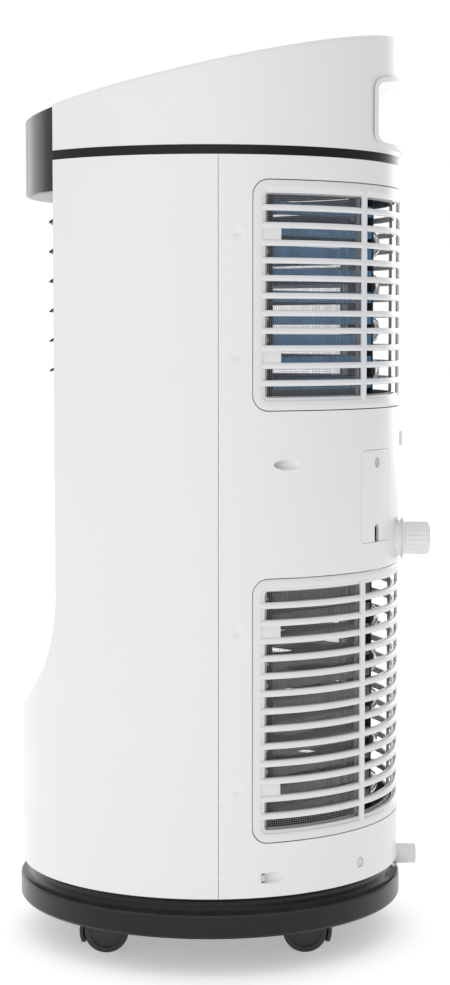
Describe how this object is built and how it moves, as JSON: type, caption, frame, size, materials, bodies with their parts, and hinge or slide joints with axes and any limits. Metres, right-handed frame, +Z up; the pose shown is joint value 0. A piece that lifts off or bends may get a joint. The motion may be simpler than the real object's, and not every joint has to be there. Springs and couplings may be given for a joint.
{
  "type": "portable air conditioner",
  "caption": "Free-standing portable air conditioner: round white cabinet on casters, flat front with swinging louvres, bowed display head, lift-off rear grilles over the coils.",
  "frame": {"origin": "middle of the footprint box, on the floor", "axes": "+Z up, front towards -Y, +X to the right seen from the front"},
  "size_m": [0.3545, 0.3777, 0.8198],
  "materials": {
    "white_shell": "satin moulded white",
    "white_trim": "satin moulded white",
    "black_plastic": "black moulded plastic",
    "tyre_black": "hard black plastic",
    "gloss_black": "polished dark cover",
    "button_grey": "soft grey keys",
    "filter_mesh": "fine dark mesh in a frame",
    "blue_fins": "blue coated fins",
    "grey_fins": "bare fins",
    "bright_tube": "bright tube",
    "copper": "copper tube",
    "duct_foam": "dark moulded duct",
    "fan_plastic": "black moulded wheel",
    "motor_steel": "zinc plated",
    "compressor_black": "black enamel",
    "foot_rubber": "moulded rubber",
    "box_steel": "galvanised sheet",
    "screw_steel": "zinc plated",
    "board_green": "printed circuit board"
  },
  "bodies": {
    "root": {"base_tray": "black_plastic", "front_shell": "white_shell", "rear_shell": "white_shell", "trim_band": "black_plastic", "top_housing": "white_shell", "handle_liner": "white_trim", "head_case": "white_trim", "head_fascia": "gloss_black", "display_board": "board_green", "control_panel": "gloss_black", "outlet_frame": "black_plastic", "swing_motor": "motor_steel", "evaporator_fins": "blue_fins", "evaporator_tubes": "bright_tube", "condenser_fins": "grey_fins", "condenser_tubes": "bright_tube", "blower_scroll": "duct_foam", "blower_motor": "motor_steel", "condenser_scroll": "duct_foam", "condenser_motor": "motor_steel", "exhaust_collar": "white_trim", "mid_deck": "duct_foam", "compressor": "compressor_black", "compressor_feet": "foot_rubber", "pipework": "copper", "control_box": "box_steel", "drain_spout": "white_trim", "cord_cover": "white_shell", "cord_gland": "black_plastic", "shell_screws": "screw_steel"},
    "caster_hood_front_left": {"caster_hood_front_left": "black_plastic"},
    "caster_wheels_front_left": {"caster_wheels_front_left": "tyre_black"},
    "caster_hood_front_right": {"caster_hood_front_right": "black_plastic"},
    "caster_wheels_front_right": {"caster_wheels_front_right": "tyre_black"},
    "caster_hood_rear_left": {"caster_hood_rear_left": "black_plastic"},
    "caster_wheels_rear_left": {"caster_wheels_rear_left": "tyre_black"},
    "caster_hood_rear_right": {"caster_hood_rear_right": "black_plastic"},
    "caster_wheels_rear_right": {"caster_wheels_rear_right": "tyre_black"},
    "louvre_1": {"louvre_1": "black_plastic"},
    "louvre_2": {"louvre_2": "black_plastic"},
    "louvre_3": {"louvre_3": "black_plastic"},
    "louvre_4": {"louvre_4": "black_plastic"},
    "louvre_5": {"louvre_5": "black_plastic"},
    "louvre_6": {"louvre_6": "black_plastic"},
    "louvre_link": {"louvre_link": "black_plastic"},
    "blower_wheel": {"blower_wheel": "fan_plastic"},
    "condenser_fan": {"condenser_fan": "fan_plastic"},
    "upper_grille": {"upper_grille": "white_trim", "upper_filter": "filter_mesh"},
    "lower_grille": {"lower_grille": "white_trim", "lower_filter": "filter_mesh"},
    "drain_cap": {"drain_cap": "white_trim"},
    "tray_plug": {"tray_plug": "white_trim"},
    "button_power": {"button_power": "button_grey"},
    "button_mode": {"button_mode": "button_grey"},
    "button_lower": {"button_lower": "button_grey"},
    "button_raise": {"button_raise": "button_grey"},
    "button_speed": {"button_speed": "button_grey"}
  },
  "joints": [
    {"name": "swivel_front_left", "type": "hinge", "parent": "root", "child": "caster_hood_front_left", "pos_m": [-0.0838, -0.11776, 0.045], "axis": [0, 0, 1], "continuous": true},
    {"name": "roll_front_left", "type": "hinge", "parent": "caster_hood_front_left", "child": "caster_wheels_front_left", "pos_m": [-0.0838, -0.10476, 0.02], "axis": [1, 0, 0], "continuous": true},
    {"name": "swivel_front_right", "type": "hinge", "parent": "root", "child": "caster_hood_front_right", "pos_m": [0.0838, -0.11776, 0.045], "axis": [0, 0, 1], "continuous": true},
    {"name": "roll_front_right", "type": "hinge", "parent": "caster_hood_front_right", "child": "caster_wheels_front_right", "pos_m": [0.0838, -0.10476, 0.02], "axis": [1, 0, 0], "continuous": true},
    {"name": "swivel_rear_left", "type": "hinge", "parent": "root", "child": "caster_hood_rear_left", "pos_m": [-0.0838, 0.08666, 0.045], "axis": [0, 0, 1], "continuous": true},
    {"name": "roll_rear_left", "type": "hinge", "parent": "caster_hood_rear_left", "child": "caster_wheels_rear_left", "pos_m": [-0.0838, 0.07366, 0.02], "axis": [1, 0, 0], "continuous": true},
    {"name": "swivel_rear_right", "type": "hinge", "parent": "root", "child": "caster_hood_rear_right", "pos_m": [0.0838, 0.08666, 0.045], "axis": [0, 0, 1], "continuous": true},
    {"name": "roll_rear_right", "type": "hinge", "parent": "caster_hood_rear_right", "child": "caster_wheels_rear_right", "pos_m": [0.0838, 0.07366, 0.02], "axis": [1, 0, 0], "continuous": true},
    {"name": "swing_1", "type": "hinge", "parent": "root", "child": "louvre_1", "pos_m": [0, -0.14195, 0.6575], "axis": [1, 0, 0], "range_deg": [-45, 55]},
    {"name": "swing_2", "type": "hinge", "parent": "root", "child": "louvre_2", "pos_m": [0, -0.14195, 0.63137], "axis": [1, 0, 0], "range_deg": [-45, 55]},
    {"name": "swing_3", "type": "hinge", "parent": "root", "child": "louvre_3", "pos_m": [0, -0.14195, 0.60524], "axis": [1, 0, 0], "range_deg": [-45, 55]},
    {"name": "swing_4", "type": "hinge", "parent": "root", "child": "louvre_4", "pos_m": [0, -0.14195, 0.57911], "axis": [1, 0, 0], "range_deg": [-45, 55]},
    {"name": "swing_5", "type": "hinge", "parent": "root", "child": "louvre_5", "pos_m": [0, -0.14195, 0.55298], "axis": [1, 0, 0], "range_deg": [-45, 55]},
    {"name": "swing_6", "type": "hinge", "parent": "root", "child": "louvre_6", "pos_m": [0, -0.14195, 0.52685], "axis": [1, 0, 0], "range_deg": [-45, 55]},
    {"name": "link_turn", "type": "hinge", "parent": "louvre_1", "child": "louvre_link", "pos_m": [-0.0856, -0.13199, 0.65663], "axis": [1, 0, 0], "range_deg": [-55, 45]},
    {"name": "blower_wheel_spin", "type": "hinge", "parent": "root", "child": "blower_wheel", "pos_m": [0, -0.04955, 0.5914], "axis": [1, 0, 0], "continuous": true},
    {"name": "condenser_fan_spin", "type": "hinge", "parent": "root", "child": "condenser_fan", "pos_m": [0.02, -0.03955, 0.24], "axis": [1, 0, 0], "continuous": true},
    {"name": "upper_grille_pull", "type": "slide", "parent": "root", "child": "upper_grille", "axis": [0, 1, 0], "range_m": [0, 0.171]},
    {"name": "lower_grille_pull", "type": "slide", "parent": "root", "child": "lower_grille", "axis": [0, 1, 0], "range_m": [0, 0.171]},
    {"name": "drain_cap_pull", "type": "slide", "parent": "root", "child": "drain_cap", "axis": [0, 1, 0], "range_m": [0, 0.03]},
    {"name": "tray_plug_pull", "type": "slide", "parent": "root", "child": "tray_plug", "axis": [0, 1, 0], "range_m": [0, 0.02]},
    {"name": "press_power", "type": "slide", "parent": "root", "child": "button_power", "axis": [0, 0.2125, -0.9772], "range_m": [0, 0.001], "stiffness_N_per_m": 400},
    {"name": "press_mode", "type": "slide", "parent": "root", "child": "button_mode", "axis": [0, 0.2125, -0.9772], "range_m": [0, 0.001], "stiffness_N_per_m": 400},
    {"name": "press_lower", "type": "slide", "parent": "root", "child": "button_lower", "axis": [0, 0.2125, -0.9772], "range_m": [0, 0.001], "stiffness_N_per_m": 400},
    {"name": "press_raise", "type": "slide", "parent": "root", "child": "button_raise", "axis": [0, 0.2125, -0.9772], "range_m": [0, 0.001], "stiffness_N_per_m": 400},
    {"name": "press_speed", "type": "slide", "parent": "root", "child": "button_speed", "axis": [0, 0.2125, -0.9772], "range_m": [0, 0.001], "stiffness_N_per_m": 400}
  ],
  "couplings": [
    {"joint": "swing_2", "follows": "swing_1", "ratio": 1},
    {"joint": "swing_3", "follows": "swing_1", "ratio": 1},
    {"joint": "swing_4", "follows": "swing_1", "ratio": 1},
    {"joint": "swing_5", "follows": "swing_1", "ratio": 1},
    {"joint": "swing_6", "follows": "swing_1", "ratio": 1},
    {"joint": "link_turn", "follows": "swing_1", "ratio": -1}
  ]
}
